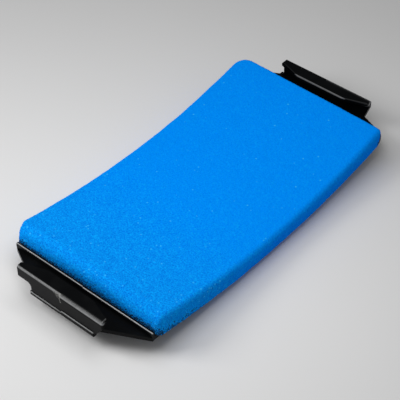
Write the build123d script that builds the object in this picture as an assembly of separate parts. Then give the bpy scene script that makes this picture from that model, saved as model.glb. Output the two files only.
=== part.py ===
from build123d import *
import os
from math import atan2, sqrt, tan

# Foam pad: a slab cut from sheet foam, bent to lie in the tray
pad_length = 148.4
pad_width = 80.0
pad_thickness = 10.0
pad_corner_radius = 4.0
pad_edge_radius = 2.5

# How the loose pad fits the frame
seat_clearance = 0.3
end_clearance = 0.6

# Curved grid tray that carries the pad
seat_radius = 375.0
tray_thickness = 2.0
tray_end_width = 76.2
tray_waist_width = 69.8
grid_rows = 9
grid_columns = 4
rib_width = 2.4
border_width = 3.4
window_corner_radius = 1.5

# Low rim across each end of the tray, which stops the pad from sliding out; it steps at the latch end
rim_thickness = 1.4
rim_height = 2.5
rim_step = 0.4
rim_edge_radius = 0.6

# Tab outside each rim: tapered all the way at the latch end, with rounded shoulders first at the hook end
tab_reach = 12.4
hook_tab_shoulder = 4.5
hook_shoulder_straight = 0.25

# Upturned lip on the outer edge of each tab, with a flange folded inward along its top
lip_thickness = 1.8
lip_rise = 5.8
lip_bend_inner_radius = 0.6
flange_thickness = 1.8
flange_depth = 6.7
flange_strip = 3.0
flange_inner_width = 25.0
flange_edge_radius = 0.6

# Latch lip at -X: a springy narrow root under a full bar, in two halves that meet at the mould's joint line
latch_drop = 1.8
latch_root_width = 34.2
latch_bar_left = 24.4
latch_bar_right = 22.8
latch_bar_height = 5.7
latch_bar_end = 4.4
latch_neck_radius = 2.2
latch_tip_radius = 1.6
latch_tight_bend_radius = 1.2
latch_wide_bend_radius = 2.1
strip_height = 3.6
strip_proud = 0.4

# Bead along the foot of the latch lip, taller on one half of the mould
bead_proud = 0.4
bead_overhang = 0.7
bead_height = 1.9
bead_step = 0.9
bead_edge_radius = 0.4

# Hook lip at +X: a plain stiff plate, upright over a rounded foot at +Y, along a slant from its root at -Y
hook_root_right = 22.4
hook_bar_left = 24.3
hook_bar_right = 24.8
hook_bar_height = 4.2
hook_foot = 2.3
hook_foot_straight = 0.3
hook_tip_radius = 1.4
hook_bend_radius = 1.2
hook_flange_rise = 1.0

# Heights and stations along X that follow from the sizes above
arc_centre_z = seat_radius + tray_thickness
rim_inner_x = pad_length / 2 + end_clearance
rim_outer_x = rim_inner_x + rim_thickness
lip_outer_x = rim_outer_x + tab_reach
lip_inner_x = lip_outer_x - lip_thickness
latch_face_x = lip_outer_x - strip_proud
flange_inner_x = lip_outer_x - flange_depth
floor_top_z = arc_centre_z - sqrt(seat_radius**2 - rim_inner_x**2)
floor_bottom_z = floor_top_z - tray_thickness
rim_top_z = floor_top_z + rim_height
lip_top_z = rim_top_z + lip_rise
hook_top_z = lip_top_z + hook_flange_rise
latch_bottom_z = floor_bottom_z - latch_drop
end_half = tray_end_width / 2
latch_root_half = latch_root_width / 2
hook_root_left = hook_bar_left + hook_foot


def tray_profile(latch_rim_top_z):
    """Long section through the frame: flat tab floors, end rims and the curved seat between them."""
    with BuildSketch(Plane.XZ) as section:
        with BuildLine():
            ThreePointArc((-rim_inner_x, floor_bottom_z), (0, 0), (rim_inner_x, floor_bottom_z))
            Polyline(
                (rim_inner_x, floor_bottom_z),
                (lip_outer_x, floor_bottom_z),
                (lip_outer_x, floor_top_z),
                (rim_outer_x, floor_top_z),
                (rim_outer_x, rim_top_z),
                (rim_inner_x, rim_top_z),
                (rim_inner_x, floor_top_z),
            )
            ThreePointArc((rim_inner_x, floor_top_z), (0, tray_thickness), (-rim_inner_x, floor_top_z))
            Polyline(
                (-rim_inner_x, floor_top_z),
                (-rim_inner_x, latch_rim_top_z),
                (-rim_outer_x, latch_rim_top_z),
                (-rim_outer_x, floor_top_z),
                (-lip_outer_x, floor_top_z),
                (-lip_outer_x, floor_bottom_z),
                (-rim_inner_x, floor_bottom_z),
            )
        make_face()
        rim_tops = section.vertices().filter_by(lambda v: v.Y > floor_top_z + rim_height / 2)
        fillet(rim_tops, rim_edge_radius)
    return section.sketch


def plan_outline():
    """Outline seen from above: sides drawn in to a waist, then a taper out to the lip at each end."""
    waist_half = tray_waist_width / 2
    shoulder_x = rim_outer_x + hook_tab_shoulder
    with BuildSketch(Plane.XY) as outline:
        with BuildLine():
            ThreePointArc((-rim_outer_x, -end_half), (0, -waist_half), (rim_outer_x, -end_half))
            Polyline(
                (rim_outer_x, -end_half),
                (shoulder_x, -end_half),
                (lip_inner_x, -hook_root_right),
                (lip_outer_x, -hook_root_right),
                (lip_outer_x, hook_root_left),
                (lip_inner_x, hook_root_left),
                (shoulder_x, end_half),
                (rim_outer_x, end_half),
            )
            ThreePointArc((rim_outer_x, end_half), (0, waist_half), (-rim_outer_x, end_half))
            Polyline(
                (-rim_outer_x, end_half),
                (-lip_inner_x, latch_root_half),
                (-latch_face_x, latch_root_half),
                (-latch_face_x, -latch_root_half),
                (-lip_inner_x, -latch_root_half),
                (-rim_outer_x, -end_half),
            )
        make_face()
        for side, root_half in ((1, hook_root_left), (-1, hook_root_right)):
            shoulder_turn = atan2(end_half - root_half, lip_inner_x - shoulder_x)
            shoulder_radius = (hook_tab_shoulder - hook_shoulder_straight) / tan(shoulder_turn / 2)
            shoulder = outline.vertices().sort_by_distance((shoulder_x, side * end_half))[0]
            fillet(shoulder, shoulder_radius)
    return outline.sketch


def grid_windows():
    """Air windows between the ribs, laid out in even rows inside the border."""
    field_length = 2 * (rim_inner_x - border_width)
    field_width = tray_waist_width - 2 * border_width
    window_length = (field_length - (grid_rows - 1) * rib_width) / grid_rows
    window_width = (field_width - (grid_columns - 1) * rib_width) / grid_columns
    with BuildSketch(Plane.XY) as windows:
        with GridLocations(window_length + rib_width, window_width + rib_width, grid_rows, grid_columns):
            RectangleRounded(window_length, window_width, window_corner_radius)
    return windows.sketch


def make_tray():
    """Tray, rims and tab floors as one moulding: the long section trimmed to the plan outline."""
    left = extrude(tray_profile(rim_top_z + rim_step), amount=-tray_end_width)
    right = extrude(tray_profile(rim_top_z), amount=tray_end_width)
    body = (left + right) & extrude(plan_outline(), amount=lip_top_z)
    return body - extrude(grid_windows(), amount=lip_top_z)


def folded_plate(outer_x, bottom_z, top_z, bend_radius, start_y, end_y):
    """Plate of a +X lip and its flange, bent at top_z from one section that runs from start_y to end_y."""
    flange_bottom_z = lip_top_z - flange_thickness
    flange_slope = (top_z - lip_top_z) / (outer_x - flange_inner_x)
    inside_bend_z = flange_bottom_z + flange_slope * (lip_inner_x - flange_inner_x)
    with BuildSketch(Plane.XZ.offset(-end_y)) as section:
        with BuildLine():
            Polyline(
                (lip_inner_x, bottom_z),
                (outer_x, bottom_z),
                (outer_x, top_z),
                (flange_inner_x, lip_top_z),
                (flange_inner_x, flange_bottom_z),
                (lip_inner_x, inside_bend_z),
                close=True,
            )
        make_face()
        free_edge, inside, outside = section.vertices().group_by(Axis.X)
        fillet(outside.sort_by(Axis.Y)[-1], bend_radius)
        fillet(inside.sort_by(Axis.Y)[-1], lip_bend_inner_radius)
        fillet(free_edge, flange_edge_radius)
    return extrude(section.sketch, amount=end_y - start_y)


def flange_plan(right_half, left_half):
    """A +X lip seen from above: the flange is deepest over its middle and tapers to a strip at each end."""
    strip_x = lip_outer_x - flange_strip
    inner_half = flange_inner_width / 2
    with BuildSketch(Plane.XY) as above:
        with BuildLine():
            Polyline(
                (lip_outer_x, -right_half),
                (lip_outer_x, left_half),
                (strip_x, left_half),
                (flange_inner_x, inner_half),
                (flange_inner_x, -inner_half),
                (strip_x, -right_half),
                close=True,
            )
        make_face()
    return above.sketch


def latch_elevation():
    """Front of the latch lip: a narrow root that widens to a bar, past a neck at +Y, along a slant at -Y."""
    bar_bottom_z = lip_top_z - latch_bar_height
    slant_top_z = lip_top_z - latch_bar_end
    with BuildSketch(Plane.YZ) as front:
        with BuildLine():
            Polyline(
                (-latch_root_half, latch_bottom_z),
                (latch_root_half, latch_bottom_z),
                (latch_root_half, bar_bottom_z),
                (latch_bar_left, bar_bottom_z),
                (latch_bar_left, lip_top_z),
                (-latch_bar_right, lip_top_z),
                (-latch_bar_right, slant_top_z),
                close=True,
            )
        make_face()
        corners = front.vertices().group_by(Axis.Y)
        neck = corners[1].sort_by(Axis.X)[0]
        tips = front.vertices() - corners[0] - [neck]
        fillet(neck, latch_neck_radius)
        fillet(tips, latch_tip_radius)
    return front.sketch


def hook_elevation():
    """Front of the hook lip: a bar with rounded tips, over a rounded foot at +Y and a slanted side at -Y."""
    bar_bottom_z = hook_top_z - hook_bar_height
    with BuildSketch(Plane.YZ) as front:
        with BuildLine():
            Polyline(
                (-hook_root_right, floor_bottom_z),
                (hook_root_left, floor_bottom_z),
                (hook_root_left, floor_top_z),
                (hook_bar_left, floor_top_z),
                (hook_bar_left, hook_top_z),
                (-hook_bar_right, hook_top_z),
                (-hook_bar_right, bar_bottom_z),
                close=True,
            )
        make_face()
        foot_corner = front.vertices().sort_by_distance((hook_bar_left, floor_top_z))[0]
        fillet(foot_corner, hook_foot - hook_foot_straight)
        fillet(front.vertices().group_by(Axis.Y)[-1], hook_tip_radius)
    return front.sketch


def make_bead():
    """Bead on the foot of the latch lip: a low bar, with a step up to a taller bar over the -Y half."""
    bead_half = latch_root_half + bead_overhang
    bead_top_z = latch_bottom_z + bead_height
    with BuildSketch(Plane.YZ.offset(lip_inner_x)) as front:
        with BuildLine():
            Polyline(
                (-bead_half, latch_bottom_z),
                (bead_half, latch_bottom_z),
                (bead_half, bead_top_z),
                (0, bead_top_z),
                (0, bead_top_z + bead_step),
                (-bead_half, bead_top_z + bead_step),
                close=True,
            )
        make_face()
    bar = extrude(front.sketch, amount=latch_face_x + bead_proud - lip_inner_x)
    return fillet(bar.faces().sort_by(Axis.X)[-1].edges(), bead_edge_radius)


def make_latch_lip():
    """Latch lip, drawn at +X: the -Y half folds on a wider bend and stands proud in a strip below it."""
    strip_bottom_z = lip_top_z - strip_height
    left = folded_plate(latch_face_x, latch_bottom_z, lip_top_z, latch_tight_bend_radius, 0, latch_bar_left)
    right = folded_plate(lip_outer_x, latch_bottom_z, lip_top_z, latch_wide_bend_radius, -latch_bar_right, 0)
    with BuildSketch(Plane.XZ) as relief:
        with BuildLine():
            Polyline(
                (latch_face_x, latch_bottom_z),
                (lip_outer_x, latch_bottom_z),
                (lip_outer_x, strip_bottom_z),
                (latch_face_x, strip_bottom_z),
                close=True,
            )
        make_face()
    right = right - extrude(relief.sketch, amount=latch_bar_right)
    lip = left + right
    lip = lip & extrude(flange_plan(latch_bar_right, latch_bar_left), amount=lip_top_z)
    return (lip & extrude(latch_elevation(), amount=lip_outer_x)) + make_bead()


def make_hook_lip():
    """Hook lip at +X: one folded plate trimmed from above and from the front."""
    ends = (-hook_bar_right, hook_root_left)
    lip = folded_plate(lip_outer_x, floor_bottom_z, hook_top_z, hook_bend_radius, *ends)
    lip = lip & extrude(flange_plan(hook_bar_right, hook_root_left), amount=hook_top_z)
    return lip & extrude(hook_elevation(), amount=lip_outer_x)


def make_frame():
    """The whole black moulding: tray with both tabs, the hook lip at +X and the latch lip at -X."""
    return make_tray() + make_hook_lip() + mirror(make_latch_lip(), about=Plane.YZ)


def make_pad():
    """Foam pad bent to the seat, with square-cut ends, rounded corners and softened top edges."""
    lower_radius = seat_radius - seat_clearance
    upper_radius = lower_radius - pad_thickness
    half = pad_length / 2
    end_lower_z = arc_centre_z - sqrt(lower_radius**2 - half**2)
    end_upper_z = arc_centre_z - sqrt(upper_radius**2 - half**2)
    with BuildSketch(Plane.XZ) as section:
        with BuildLine():
            ThreePointArc((-half, end_lower_z), (0, arc_centre_z - lower_radius), (half, end_lower_z))
            Line((half, end_lower_z), (half, end_upper_z))
            ThreePointArc((half, end_upper_z), (0, arc_centre_z - upper_radius), (-half, end_upper_z))
            Line((-half, end_upper_z), (-half, end_lower_z))
        make_face()
    slab = extrude(section.sketch, amount=pad_width / 2, both=True)
    slab = fillet(slab.edges().filter_by(Axis.Z), pad_corner_radius)
    top = slab.faces().sort_by(SortBy.AREA)[-2:].sort_by(Axis.Z)[-1]
    return fillet(top.edges(), pad_edge_radius)


os.makedirs("parts", exist_ok=True)
export_step(make_frame(), "parts/frame.step")
export_step(make_pad(), "parts/foam_pad.step")
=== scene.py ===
import math

import bpy
import numpy as np
from mathutils import Matrix, Vector, noise


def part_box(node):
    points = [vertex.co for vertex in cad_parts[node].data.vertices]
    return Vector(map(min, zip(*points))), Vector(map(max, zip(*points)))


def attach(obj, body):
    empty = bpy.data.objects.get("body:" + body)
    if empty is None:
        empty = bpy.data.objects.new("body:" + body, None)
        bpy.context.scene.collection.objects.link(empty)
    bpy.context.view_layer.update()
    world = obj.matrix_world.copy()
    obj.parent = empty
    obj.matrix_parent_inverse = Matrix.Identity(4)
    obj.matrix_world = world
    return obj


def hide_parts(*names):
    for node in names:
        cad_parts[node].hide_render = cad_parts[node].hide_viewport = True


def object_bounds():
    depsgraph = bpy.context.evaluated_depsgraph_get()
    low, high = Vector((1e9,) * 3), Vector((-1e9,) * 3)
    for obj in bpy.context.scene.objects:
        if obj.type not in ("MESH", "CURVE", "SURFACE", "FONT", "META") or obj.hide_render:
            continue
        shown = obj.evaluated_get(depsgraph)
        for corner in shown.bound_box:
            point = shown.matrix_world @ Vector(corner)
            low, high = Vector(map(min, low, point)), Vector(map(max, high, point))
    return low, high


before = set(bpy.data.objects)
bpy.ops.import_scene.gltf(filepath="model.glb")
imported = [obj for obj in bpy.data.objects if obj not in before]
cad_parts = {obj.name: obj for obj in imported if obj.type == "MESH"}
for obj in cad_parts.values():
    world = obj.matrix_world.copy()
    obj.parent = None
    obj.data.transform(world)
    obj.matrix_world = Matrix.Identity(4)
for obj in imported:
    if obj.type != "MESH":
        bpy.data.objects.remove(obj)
cad_low, cad_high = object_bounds()


# Frame: one black injection moulding in a tough polyolefin, a curved grid tray with a tab and an upturned
# lip at each end. It comes out of the mould with a satin skin. The near lip is whitened and split a little
# at its middle, where it has been bent at the mould's joint line.

MM = 0.001


class Wire:
    """One socket in a material's node tree. Arithmetic on wires adds Math nodes."""

    def __init__(self, tree, socket=None):
        self.tree = tree
        self.socket = socket

    def node(self, kind, settings, inputs, output=0):
        """Adds any node: its type, its settings, then the values or wires of its sockets."""
        made = self.tree.nodes.new("ShaderNode" + kind)
        for name, value in settings.items():
            setattr(made, name, value)
        for name, value in inputs.items():
            if isinstance(value, Wire):
                self.tree.links.new(value.socket, made.inputs[name])
            else:
                made.inputs[name].default_value = value
        return Wire(self.tree, made.outputs[output])

    def pick(self, output):
        """Another output of the node that this wire comes from."""
        return Wire(self.tree, self.socket.node.outputs[output])

    def math(self, operation, first, second=0.0):
        return self.node("Math", {"operation": operation}, {0: first, 1: second})

    def __add__(self, other):
        return self.math("ADD", self, other)

    def __radd__(self, other):
        return self.math("ADD", other, self)

    def __sub__(self, other):
        return self.math("SUBTRACT", self, other)

    def __rsub__(self, other):
        return self.math("SUBTRACT", other, self)

    def __mul__(self, other):
        return self.math("MULTIPLY", self, other)

    def __rmul__(self, other):
        return self.math("MULTIPLY", other, self)

    def __truediv__(self, other):
        return self.math("DIVIDE", self, other)

    def __rtruediv__(self, other):
        return self.math("DIVIDE", other, self)

    def __abs__(self):
        return self.math("ABSOLUTE", self)

    def capped(self):
        return self.math("MINIMUM", self, 1.0)

    def ramp(self, low, high):
        """A smooth step from 0 at low to 1 at high."""
        limits = {"From Min": low, "From Max": high}
        return self.node("MapRange", {"interpolation_type": "SMOOTHSTEP"}, {"Value": self, **limits})

    def between(self, none, full):
        """A number that goes from none, where this wire is 0, to full, where it is 1."""
        return none + (full - none) * self

    def blend(self, first, second):
        """Mixes two colours, with this wire as the share of the second."""
        first_colour, second_colour, mixed_colour = 6, 7, 2
        inputs = {"Factor": self, first_colour: first, second_colour: second}
        return self.node("Mix", {"data_type": "RGBA"}, inputs, mixed_colour)

    def feed(self, shader, socket):
        self.tree.links.new(self.socket, shader.inputs[socket])


def new_finish(name):
    """A material, its Principled shader, and a wire that carries the place on the object in metres."""
    material = bpy.data.materials.new(name)
    material.use_nodes = True
    shader = material.node_tree.nodes["Principled BSDF"]
    place = Wire(material.node_tree).node("TexCoord", {}, {}, "Object")
    return material, shader, place


def axes(place):
    """The three coordinates of a place."""
    split = place.node("SeparateXYZ", {}, {"Vector": place})
    return split, split.pick("Y"), split.pick("Z")


def grain(place, size, detail=2.0):
    """Noise over the surface; size is about the width of one lump."""
    inputs = {"Vector": place, "Scale": 1 / size, "Detail": detail, "Roughness": 0.55}
    return place.node("TexNoise", {}, inputs)


def band(wire, middle, half, fade):
    """1 within half of the middle value, falling to 0 over the fade beyond it."""
    return 1 - abs(wire - middle).ramp(half, half + fade)


# The pale grey lines on the rims, the bends of the lips, the bead and the flange edges are painted
# highlights.
def rim_highlight(out, z, right_half):
    """Painted highlight on the crest of the low rim across each end."""
    crest, half, fade = 75.9 * MM, 0.08 * MM, 0.2 * MM
    foot, top = 11.4 * MM, 11.7 * MM
    left_share, right_share = 0.82, 1.0
    return band(out, crest, half, fade) * z.ramp(foot, top) * right_half.between(left_share, right_share)


def bend_highlight(out, z, right_half, far_end):
    """Painted highlight on the bend of each lip, wider in the right half and, on the near lip, further out
    there.
    """
    near_left, near_right, far = 70.62 * MM, 71.45 * MM, 70.2 * MM
    past_bend = out - z - far_end.between(right_half.between(near_left, near_right), far)
    rise_from = right_half.between(-1.1 * MM, -2.5 * MM)
    rise_to = right_half.between(-0.05 * MM, 0.35 * MM)
    fall_from, fall_to = 0.15 * MM, 0.9 * MM
    foot, top = 15.4 * MM, 16.2 * MM
    left_share, right_share = 0.78, 1.0
    rise = past_bend.ramp(rise_from, rise_to)
    rise = rise * right_half.between(1, rise)
    line = rise * (1 - past_bend.ramp(fall_from, fall_to)) * z.ramp(foot, top)
    return line * right_half.between(left_share, right_share)


def bead_highlight(x, z, right_half):
    """Painted highlight on the bead along the foot of the near lip, which steps up in the right half."""
    crest = right_half.between(7.45 * MM, 8.2 * MM)
    half, fade = 0.14 * MM, 0.2 * MM
    crest_face, lip_face = cad_low.x + 0.2 * MM, cad_low.x + 0.35 * MM
    left_share, right_share = 0.68, 1.0
    line = band(z, crest, half, fade) * (1 - x.ramp(crest_face, lip_face))
    return line * right_half.between(left_share, right_share)


def tip_glint(y, z, far_end):
    """Painted glint on the right end of the near flange."""
    tip, half, fade = -22.65 * MM, 0.12 * MM, 0.2 * MM
    foot, top = 17.2 * MM, 17.5 * MM
    share = 0.22
    return band(y, tip, half, fade) * z.ramp(foot, top) * (1 - far_end) * share


def far_flange_highlight(x, y, z, right_half, far_end):
    """Painted highlight on the free edge of the far flange and, fainter, on its two slanted ends."""
    edge, edge_half, edge_fade = 82.1 * MM, 0.2 * MM, 0.3 * MM
    edge_foot, edge_top = 17.3 * MM, 17.6 * MM
    edge_share = 0.54
    free_edge = band(x, edge, edge_half, edge_fade) * z.ramp(edge_foot, edge_top)
    slant_start_x, slant_start_y = 81.9 * MM, 12.5 * MM
    slant_sine, slant_cosine = 0.282, 0.96
    slant_middle, slant_half, slant_fade = -0.15 * MM, 0.1 * MM, 0.25 * MM
    slant_foot, slant_top = 17.6 * MM, 17.8 * MM
    left_share, right_share = 0.03, 0.09
    beyond = (abs(y) - slant_start_y) * slant_sine - (x - slant_start_x) * slant_cosine
    slant_edge = band(beyond, slant_middle, slant_half, slant_fade) * far_end
    slant_edge = slant_edge * z.ramp(slant_foot, slant_top)
    return free_edge * edge_share + slant_edge * right_half.between(left_share, right_share)


def painted_edge_highlights(x, y, z):
    """Share of painted highlight on the rims, the bends of the lips, the bead and the free edges of the
    flanges.
    """
    joint_line = 0.1 * MM
    right_half = 1 - y.ramp(-joint_line, joint_line)
    far_end = x.ramp(-MM, MM)
    out = abs(x)
    share = rim_highlight(out, z, right_half) + bend_highlight(out, z, right_half, far_end)
    share = share + bead_highlight(x, z, right_half) + tip_glint(y, z, far_end)
    return (share + far_flange_highlight(x, y, z, right_half, far_end)).capped()


def stress_mark(x, y, z, speck):
    """The whitening and the split at the middle of the near lip, and the stretch of bend where they dim the
    painted highlight.
    """
    full_at, gone_at = 0.2 * MM, 5.6 * MM
    bend_top, least_depth, most_depth = 17.9 * MM, 0.8 * MM, 4.0 * MM
    outer_side, inner_side = -70.4 * MM, -69.6 * MM
    split_place, split_half, split_fade = 0.1 * MM, 0.2 * MM, 0.12 * MM
    split_foot, split_top = 12.6 * MM, 13.4 * MM
    fade_from, fade_to = 0.45, 1.1
    speck_from, speck_to = 0.34, 0.62
    whitening_share, split_share = 0.66, 0.9
    on_bend = 1 - (x + z).ramp(outer_side, inner_side)
    closeness = 1 - y.ramp(full_at, gone_at)
    stretch = closeness * y.ramp(0, full_at) * on_bend
    below = (bend_top - z) / closeness.between(least_depth, most_depth)
    whitening = stretch * (1 - below.ramp(fade_from, fade_to)) * speck.ramp(speck_from, speck_to)
    # The pale split line is a crack, and also a painted highlight on the step in the lip at the joint.
    split = band(y, split_place, split_half, split_fade) * z.ramp(split_foot, split_top) * on_bend
    return (whitening * whitening_share + split * split_share).capped(), stretch


def black_plastic():
    material, shader, place = new_finish("satin_black_plastic")
    skin = (0.0018, 0.0021, 0.0025, 1)
    dusty = (0.0052, 0.0057, 0.0062, 1)
    highlight_grey = (0.28, 0.285, 0.29, 1)
    whitened = (0.33, 0.33, 0.315, 1)
    x, y, z = axes(place)
    cloudy = grain(place, 11 * MM)
    highlight_breakup = grain(place, 1.6 * MM)
    speck = grain(place, 0.8 * MM, 3.0)
    fine = grain(place, 0.35 * MM)

    mark, dulled = stress_mark(x, y, z, speck)
    least_highlight, most_highlight, left_by_mark = 0.65, 1.35, 0.65
    highlight_share = painted_edge_highlights(x, y, z) * highlight_breakup.between(least_highlight, most_highlight)
    highlight_share = highlight_share * dulled.between(1, left_by_mark)
    cloud_share, speck_share = 0.6, 0.4
    dust = cloudy.ramp(0.4, 0.75) * cloud_share + speck.ramp(0.62, 0.8) * speck_share
    # Painted highlights: the edge lines are mixed in here in pale grey.
    colour = highlight_share.blend(dust.blend(skin, dusty), highlight_grey)
    mark.blend(colour, whitened).feed(shader, "Base Color")

    clear_roughness, cloudy_roughness = 0.24, 0.32
    fine_roughness, mark_roughness, highlight_gloss = 0.05, 0.3, 0.8
    roughness = cloudy.between(clear_roughness, cloudy_roughness) + fine * fine_roughness
    (roughness + mark * mark_roughness).feed(shader, "Roughness")
    (highlight_share * highlight_gloss).feed(shader, "Coat Weight")
    shader.inputs["Coat Roughness"].default_value = 0.18
    shader.inputs["Specular IOR Level"].default_value = 0.05
    bump = place.node("Bump", {}, {"Strength": 0.07, "Distance": 0.05 * MM, "Height": fine})
    bump.feed(shader, "Normal")
    return material


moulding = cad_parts["frame"]
moulding.data.materials.clear()
moulding.data.materials.append(black_plastic())


# Foam pad: a slab cut from a block of blue open-cell foam, laid loose in the tray between the rims and
# bent to its curve. The cut cells give it a fine pitted nap, coarser on the sawn sides than on the top.
# Its edges are soft, and its far left corner has curled up a little.

pad_low, pad_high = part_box("foam_pad")
pad_half = np.array([pad_high.x - pad_low.x, pad_high.y - pad_low.y]) / 2
SEAT_RADIUS = 374.7 * MM
PAD_THICKNESS = 10.0 * MM
MESH_STEP = 0.46 * MM
BOTTOM_COARSER = 3
NEAR_LEFT_RADIUS = 5.5 * MM
NEAR_RIGHT_RADIUS = 2.2 * MM
FAR_LEFT_RADIUS = 6.5 * MM
FAR_RIGHT_RADIUS = 1.2 * MM
LOWER_EDGE_RADIUS = 0.8 * MM


def seat_height(x, radius):
    """Height of an arc of the seat above its lowest point."""
    return radius - np.sqrt(radius**2 - x**2)


def slab_surface(counts):
    """Lattice points and faces of a closed slab; its lower face is coarser but joins the sides."""
    nx, ny, nz = counts
    step = BOTTOM_COARSER
    index = {}
    faces = []

    def face(*corners):
        faces.append(tuple(index.setdefault(corner, len(index)) for corner in corners))

    for i in range(nx):
        for j in range(ny):
            face((i, j, nz), (i + 1, j, nz), (i + 1, j + 1, nz), (i, j + 1, nz))
    for k in range(nz):
        for i in range(nx):
            face((i, 0, k), (i + 1, 0, k), (i + 1, 0, k + 1), (i, 0, k + 1))
            face((i + 1, ny, k), (i, ny, k), (i, ny, k + 1), (i + 1, ny, k + 1))
        for j in range(ny):
            face((0, j + 1, k), (0, j, k), (0, j, k + 1), (0, j + 1, k + 1))
            face((nx, j, k), (nx, j + 1, k), (nx, j + 1, k + 1), (nx, j, k + 1))
    for i in range(0, nx, step):
        for j in range(0, ny, step):
            ring = [(i, j + n) for n in range(step)]
            ring += [(i + n, j + step) for n in range(step)]
            ring += [(i + step, j + step - n) for n in range(step)]
            ring += [(i + step - n, j) for n in range(step)]
            face(*[(a, b, 0) for a, b in ring if a % step == b % step == 0 or a in (0, nx) or b in (0, ny)])
    return np.array(list(index), float), faces


def round_to_arc(a, b):
    """Carries the outer corner of a unit square onto a quarter circle."""
    return a * np.sqrt(1 - b**2 / 2), b * np.sqrt(1 - a**2 / 2)


def corner_radius(points):
    """Radius of the upright corner in each point's quarter; the near left one is tighter at its foot."""
    far = points[:, 0] > 0
    left = points[:, 1] > 0
    foot_share = 0.4
    near_left = NEAR_LEFT_RADIUS * (foot_share + (1 - foot_share) * points[:, 2] / PAD_THICKNESS)
    right_side = np.where(far, FAR_RIGHT_RADIUS, NEAR_RIGHT_RADIUS)
    return np.where(left, np.where(far, FAR_LEFT_RADIUS, near_left), right_side)


def round_corners(points):
    """Rounds the upright corners, folded into one quarter: gives plan, way out and depth inside."""
    plan = np.abs(points[:, :2])
    corner = corner_radius(points)
    inner = pad_half - corner[:, None]
    over = (plan - inner) / corner[:, None]
    on_arc = inner + corner[:, None] * np.stack(round_to_arc(*np.clip(over, 0, 1).T), 1)
    plan = np.where(over > 0, on_arc, plan)
    past_inner = np.clip(plan - inner, 0, None)
    reach = np.linalg.norm(past_inner, axis=1)
    inside = pad_half - plan
    nearest_side = np.where((inside[:, 0] < inside[:, 1])[:, None], [[1.0, 0.0]], [[0.0, 1.0]])
    least = 1e-9
    outward = past_inner / np.maximum(reach, least)[:, None]
    outward = np.where((reach > least)[:, None], outward, nearest_side)
    depth = np.where(past_inner.min(1) > 0, corner - reach, inside.min(1))
    return plan, outward, depth


def upper_edge_radius(facing):
    """Radius of the upper edge by the way that it faces; the near end is the most rounded."""
    plain, more_near, more_right = 1.4 * MM, 4.5 * MM, 0.6 * MM
    less_near_right, more_near_left = 2.1 * MM, 0.6 * MM
    left = np.clip(facing[:, 1], 0, 1)
    near, right = np.clip(-facing, 0, 1).T
    by_corner = more_near_left * near * left - less_near_right * near * right
    return plain + more_near * near + more_right * right + by_corner


def soften(points):
    """Rounds the slab's upright corners and then its upper and lower edges."""
    sign = np.where(points[:, :2] < 0, -1.0, 1.0)
    plan, outward, depth = round_corners(points)
    for upper, radius in ((True, upper_edge_radius(outward * sign)), (False, LOWER_EDGE_RADIUS)):
        height = points[:, 2]
        below = PAD_THICKNESS - height if upper else height
        a = np.clip(1 - depth / radius, 0, 1)
        b = np.clip(1 - below / radius, 0, 1)
        a_round, b_round = round_to_arc(a, b)
        plan = plan - outward * (radius * (a - a_round))[:, None]
        shift = radius * (b - b_round)
        points[:, 2] = height - shift if upper else height + shift
    points[:, :2] = plan * sign
    return points


def pitted(points, normals):
    """Depth of the cut cells, deeper on the sawn sides, and of the slow waves of the sheet."""
    cell_width, cell_depth, cell_level = 1.05 * MM, 0.24 * MM, 0.11 * MM
    nap_width, nap_depth = 0.6 * MM, 0.06 * MM
    wave_width, wave_depth = 9 * MM, 0.10 * MM
    sawn_more = 1.2
    sawn = 1 + sawn_more * (1 - np.abs(normals[:, 2]))
    depths = np.zeros(len(points))
    for n, point in enumerate(points):
        place = Vector(point)
        near, _ = noise.voronoi(place / cell_width)
        pit = cell_depth * (near[1] - near[0]) - cell_level + nap_depth * noise.noise(place / nap_width)
        depths[n] = pit * sawn[n] + wave_depth * noise.noise(place / wave_width)
    return depths


def bend(points):
    """Lays the slab on the tray's curve, with its far left corner curled up and its right edge drooping.

    Along and across go from -1 to 1 over the slab, and the lengths without a unit are shares of those.
    """
    curl, curl_length, curl_width = 0.9 * MM, 0.45, 0.7
    far_rise, left_rise = 0.2 * MM, 0.25 * MM
    droop, droop_from = 0.9 * MM, -0.9
    bulge, bulge_onset, bulge_height, far_tuck = 0.9 * MM, 1.5, 1.7, 0.6 * MM
    share = np.clip(points[:, 2] / PAD_THICKNESS, 0, 1)
    lower = seat_height(points[:, 0], SEAT_RADIUS)
    upper = seat_height(points[:, 0], SEAT_RADIUS - PAD_THICKNESS)
    along, across = (points[:, :2] / pad_half).T
    far = np.clip(along, 0, 1)
    right = np.clip(-across, 0, 1)
    lift = curl * np.exp(-((1 - along) / curl_length) ** 2 - ((1 - across) / curl_width) ** 2)
    lift += far_rise * far**2 + left_rise * (1 + across)
    lift -= droop * right**2 * np.clip(along - droop_from, 0, 1)
    points[:, 2] += pad_low.z + lower + (upper - lower + lift) * share
    outward = bulge * np.clip(bulge_onset * (along + 1), 0, 1) - far_tuck * far**6
    points[:, 1] -= outward * np.clip(bulge_height * share, 0, 1) * right**3
    return points


def pad_mesh():
    counts = [BOTTOM_COARSER * round(2 * half / MESH_STEP / BOTTOM_COARSER) for half in pad_half]
    counts.append(round(PAD_THICKNESS / MESH_STEP))
    lattice, faces = slab_surface(counts)
    points = lattice / counts * [*(2 * pad_half), PAD_THICKNESS]
    points[:, :2] -= pad_half
    points = soften(points)
    mesh = bpy.data.meshes.new("foam_pad_cells")
    mesh.from_pydata(points.tolist(), [], faces)
    mesh.update()
    normals = np.zeros(len(points) * 3, np.float32)
    mesh.vertex_normals.foreach_get("vector", normals)
    normals = normals.reshape(-1, 3)
    points = bend(points - normals * pitted(points, normals)[:, None])
    mesh.vertices.foreach_set("co", points.astype(np.float32).ravel())
    mesh.update()
    mesh.shade_smooth()
    return mesh


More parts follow.
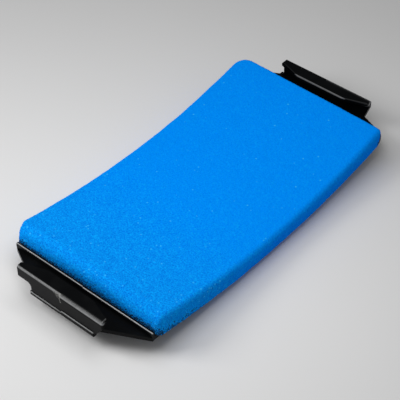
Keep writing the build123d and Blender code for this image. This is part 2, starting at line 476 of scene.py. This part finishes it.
def scattered_dots(place, spacing, channel, threshold, soft, core, rim):
    """Dots in those cells of a pattern whose random number, in one channel, passes the threshold."""
    cells = place.node("TexVoronoi", {}, {"Vector": place, "Scale": 1 / spacing})
    chance = place.node("SeparateColor", {}, {"Color": cells.pick("Color")}, channel)
    return (chance - threshold).ramp(0.0, soft) * (1 - cells.ramp(core, rim))


def open_cells(place, x, height, flank):
    """Dark open cells at the foot of both ends and, fewer, of the sides by the near end, thickened at the
    foot into painted shade.
    """
    on_end = abs(x).ramp(pad_high.x - 2.7 * MM, pad_high.x - 1.2 * MM)
    by_near_end = 1 - x.ramp(-68 * MM, -40 * MM)
    foot = 1 - height.ramp(1.6 * MM, 5.2 * MM)
    foot_share, flank_share, side_share, least_share = 0.92, 0.12, 0.5, 0.04
    where = (on_end + by_near_end * side_share).capped().between(least_share, 1)
    openness = (foot * foot_share + flank * flank_share) * where
    threshold = openness.between(0.995, -0.055)
    return scattered_dots(place, 0.5 * MM, "Red", threshold, soft=0.12, core=0.5, rim=0.8)


def blue_foam():
    material, shader, place = new_finish("blue_open_cell_foam")
    skin = (0.0003, 0.268, 1.0, 1)
    light = (0.003, 0.375, 1.0, 1)
    shaded = (0.0003, 0.150, 0.68, 1)
    sawn = (0.0003, 0.215, 1.0, 1)
    faded = (0.003, 0.262, 0.85, 1)
    pore_and_shade = (0.012, 0.024, 0.040, 1)
    glint_colour = (0.035, 0.47, 1.0, 1)
    x, _, z = axes(place)
    height = z - pad_low.z - x * x / (2 * SEAT_RADIUS)
    flank = 1 - height.ramp(4.0 * MM, 9.5 * MM)
    # Share towards the near end, where the painted glints are denser and the painted light and shade of the
    # cells are stronger.
    near_end_share = 1 - x.ramp(-70 * MM, 10 * MM)
    fading = 1 - x.ramp(-78 * MM, -10 * MM)
    nap = grain(place, 0.75 * MM)
    mottle = grain(place, 2.2 * MM, 3.0)
    patchy = grain(place, 7 * MM)
    cell_width, strut_core, strut_rim = 0.95 * MM, 0.02, 0.26
    cells = {"Vector": place, "Scale": 1 / cell_width}
    from_strut = place.node("TexVoronoi", {"feature": "DISTANCE_TO_EDGE"}, cells)
    struts = 1 - from_strut.ramp(strut_core, strut_rim)
    open_cell = open_cells(place, x, height, flank)
    # Sparse pale dots, more of them towards the near end: painted glints.
    threshold = near_end_share.between(0.970, 0.898)
    painted_glints = scattered_dots(place, 1.5 * MM, "Green", threshold, soft=0.02, core=0.14, rim=0.34)

    patch_share, mottle_share = 0.15, 0.3
    shade_share, pore_share, glint_share = 0.8, 0.92, 0.9
    contrast = near_end_share.between(0.48, 1.43)
    # The struts are painted lighter and the hollows between them painted in shade; the patches and mottle
    # are tone that varies at random.
    hollow = (1 - struts) * nap.ramp(0.45, 0.75).between(0.25, 0.85)
    dark = hollow + patchy.ramp(0.45, 0.8) * patch_share
    bright = struts * (1 - nap.ramp(0.30, 0.62)) + (1 - mottle.ramp(0.28, 0.5)) * mottle_share
    # Towards the foot of the slab the colour darkens: painted shade.
    colour = fading.blend(flank.blend(skin, sawn), faded)
    colour = (bright * contrast).capped().blend(colour, light)
    colour = (dark * contrast * shade_share).capped().blend(colour, shaded)
    # Dark dots at the foot: open cells, and painted shade where the foam meets the rim.
    colour = (open_cell * pore_share).blend(colour, pore_and_shade)
    (painted_glints * glint_share).blend(colour, glint_colour).feed(shader, "Base Color")

    strut_relief, nap_relief = 0.5, 0.4
    nap.between(0.9, 1.0).feed(shader, "Roughness")
    shader.inputs["Specular IOR Level"].default_value = 0.0
    relief = struts * strut_relief + (1 - nap) * nap_relief - open_cell
    bump = place.node("Bump", {}, {"Strength": 0.5, "Distance": 0.12 * MM, "Height": relief})
    bump.feed(shader, "Normal")
    return material


pad = bpy.data.objects.new("foam_slab", pad_mesh())
bpy.context.scene.collection.objects.link(pad)
pad.data.materials.append(blue_foam())
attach(pad, "root")
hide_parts("foam_pad")


# Studio: a plain pale floor just under the part, a soft key lamp at the near left, a weak lamp close above
# and an even fill from the room.

FLOOR_SIZE = 6.0
FLOOR_DROP = 0.05 * MM
ROOM_STRENGTH = 0.28
KEY_PLACE = Vector((-220, 180, 260)) * MM
KEY_AIM = Vector((0, 0, 10)) * MM
KEY_SIZE = 180 * MM
KEY_WATTS = 0.64
OVERHEAD_PLACE = Vector((-40, -30, 220)) * MM
OVERHEAD_AIM = Vector((-40, -30, 0)) * MM
OVERHEAD_SIZE = 160 * MM
OVERHEAD_WATTS = 0.20


def pale_floor():
    material, shader, place = new_finish("pale_floor")
    light = (0.80, 0.80, 0.80, 1)
    dull = (0.77, 0.77, 0.77, 1)
    grain(place, 120 * MM).blend(light, dull).feed(shader, "Base Color")
    shader.inputs["Roughness"].default_value = 0.8
    return material


bpy.ops.mesh.primitive_plane_add(size=FLOOR_SIZE, location=(0, 0, cad_low.z - FLOOR_DROP))
floor = bpy.context.object
floor.name = "floor"
floor.data.materials.append(pale_floor())

world = bpy.data.worlds.new("studio")
bpy.context.scene.world = world
world.use_nodes = True
room = world.node_tree.nodes["Background"]
room.inputs["Color"].default_value = (1, 1, 1, 1)
room.inputs["Strength"].default_value = ROOM_STRENGTH


def soft_lamp(name, place, aim, size, power):
    lamp = bpy.data.lights.new(name, "AREA")
    lamp.shape = "SQUARE"
    lamp.size = size
    lamp.energy = power
    holder = bpy.data.objects.new(name, lamp)
    holder.location = place
    holder.rotation_euler = (aim - place).to_track_quat("-Z", "Y").to_euler()
    bpy.context.scene.collection.objects.link(holder)


soft_lamp("key_lamp", KEY_PLACE, KEY_AIM, KEY_SIZE, KEY_WATTS)
soft_lamp("overhead_lamp", OVERHEAD_PLACE, OVERHEAD_AIM, OVERHEAD_SIZE, OVERHEAD_WATTS)

bpy.context.scene.view_settings.view_transform = "Standard"


# Camera: a long lens that looks down on the part from beyond its near right corner, as in the photograph.
# Its turns, its distance and its focal length come from fitting the part's own edges to the picture.

AZIMUTH = math.radians(-49.0)
ELEVATION = math.radians(43.59)
ROLL = math.radians(-0.63)
DISTANCE = 561.4 * MM
AIM = Vector((-3.44, 0, 7.4)) * MM
FOCAL_PIXELS = 1292.3
IMAGE_PIXELS = 400
SENSOR_WIDTH = 36
NEAREST = 10 * MM
back = Vector((math.sin(AZIMUTH), -math.cos(AZIMUTH), 0)) * math.cos(ELEVATION)
back.z = math.sin(ELEVATION)
level = Vector((math.cos(AZIMUTH), math.sin(AZIMUTH), 0))
upward = back.cross(level)
right = level * math.cos(ROLL) + upward * math.sin(ROLL)
camera = bpy.data.objects.new("camera", bpy.data.cameras.new("camera"))
camera.data.sensor_width = SENSOR_WIDTH
camera.data.lens = FOCAL_PIXELS / IMAGE_PIXELS * SENSOR_WIDTH
camera.data.clip_start = NEAREST
camera.matrix_world = Matrix((right, back.cross(right), back)).transposed().to_4x4()
camera.location = AIM + back * DISTANCE
bpy.context.scene.collection.objects.link(camera)
bpy.context.scene.camera = camera
